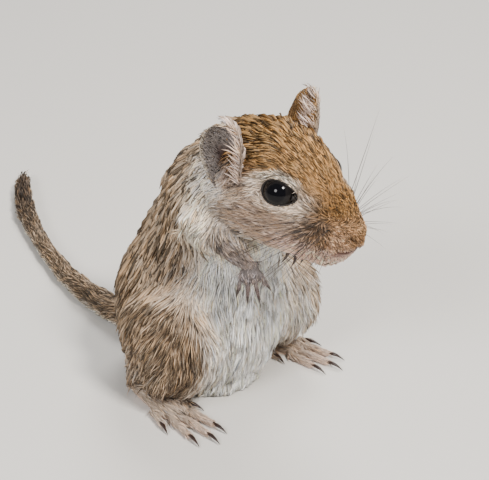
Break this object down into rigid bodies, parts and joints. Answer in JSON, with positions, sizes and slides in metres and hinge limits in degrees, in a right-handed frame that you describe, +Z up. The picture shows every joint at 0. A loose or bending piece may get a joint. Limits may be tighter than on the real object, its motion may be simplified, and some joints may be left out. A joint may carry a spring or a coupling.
{
  "type": "mongolian gerbil",
  "caption": "Life-size still model of a young adult gerbil with a golden agouti coat, sitting up on its haunches, one forepaw hanging and the other tucked up, tail laid along the floor.",
  "frame": {"origin": "middle of the flat under the rump, on the floor", "axes": "+X is the way the body faces and the line the tail trails back along, +Y its left, +Z up"},
  "size_m": [0.1501, 0.0612, 0.0688],
  "materials": {
    "coat": "soft agouti fur, golden brown ticked with dark tips over a grey base, cream white below",
    "ear_skin": "thin greyish pink skin with short pale hair on the rim",
    "paw": "greyish pink skin under very short pale hair",
    "eye": "wet glossy black",
    "claw": "dark horn, smooth"
  },
  "bodies": {
    "root": {"belly": "coat", "chest": "coat", "ear_left": "ear_skin", "ear_right": "ear_skin", "eye_left": "eye", "eye_right": "eye", "fore_claw_left_1": "claw", "fore_claw_left_2": "claw", "fore_claw_left_3": "claw", "fore_claw_left_4": "claw", "fore_claw_right_1": "claw", "fore_claw_right_2": "claw", "fore_claw_right_3": "claw", "fore_claw_right_4": "claw", "fore_digit_left_1": "paw", "fore_digit_left_2": "paw", "fore_digit_left_3": "paw", "fore_digit_left_4": "paw", "fore_digit_right_1": "paw", "fore_digit_right_2": "paw", "fore_digit_right_3": "paw", "fore_digit_right_4": "paw", "fore_leg_left": "coat", "fore_leg_right": "coat", "fore_paw_left": "paw", "fore_paw_right": "paw", "head": "coat", "hind_claw_left_1": "claw", "hind_claw_left_2": "claw", "hind_claw_left_3": "claw", "hind_claw_left_4": "claw", "hind_claw_left_5": "claw", "hind_claw_right_1": "claw", "hind_claw_right_2": "claw", "hind_claw_right_3": "claw", "hind_claw_right_4": "claw", "hind_claw_right_5": "claw", "hind_foot_left": "paw", "hind_foot_right": "paw", "hind_leg_left": "coat", "hind_leg_right": "coat", "neck": "coat", "rump": "coat", "tail_base": "coat", "tail_middle": "coat", "tail_tip": "coat"}
  },
  "joints": []
}
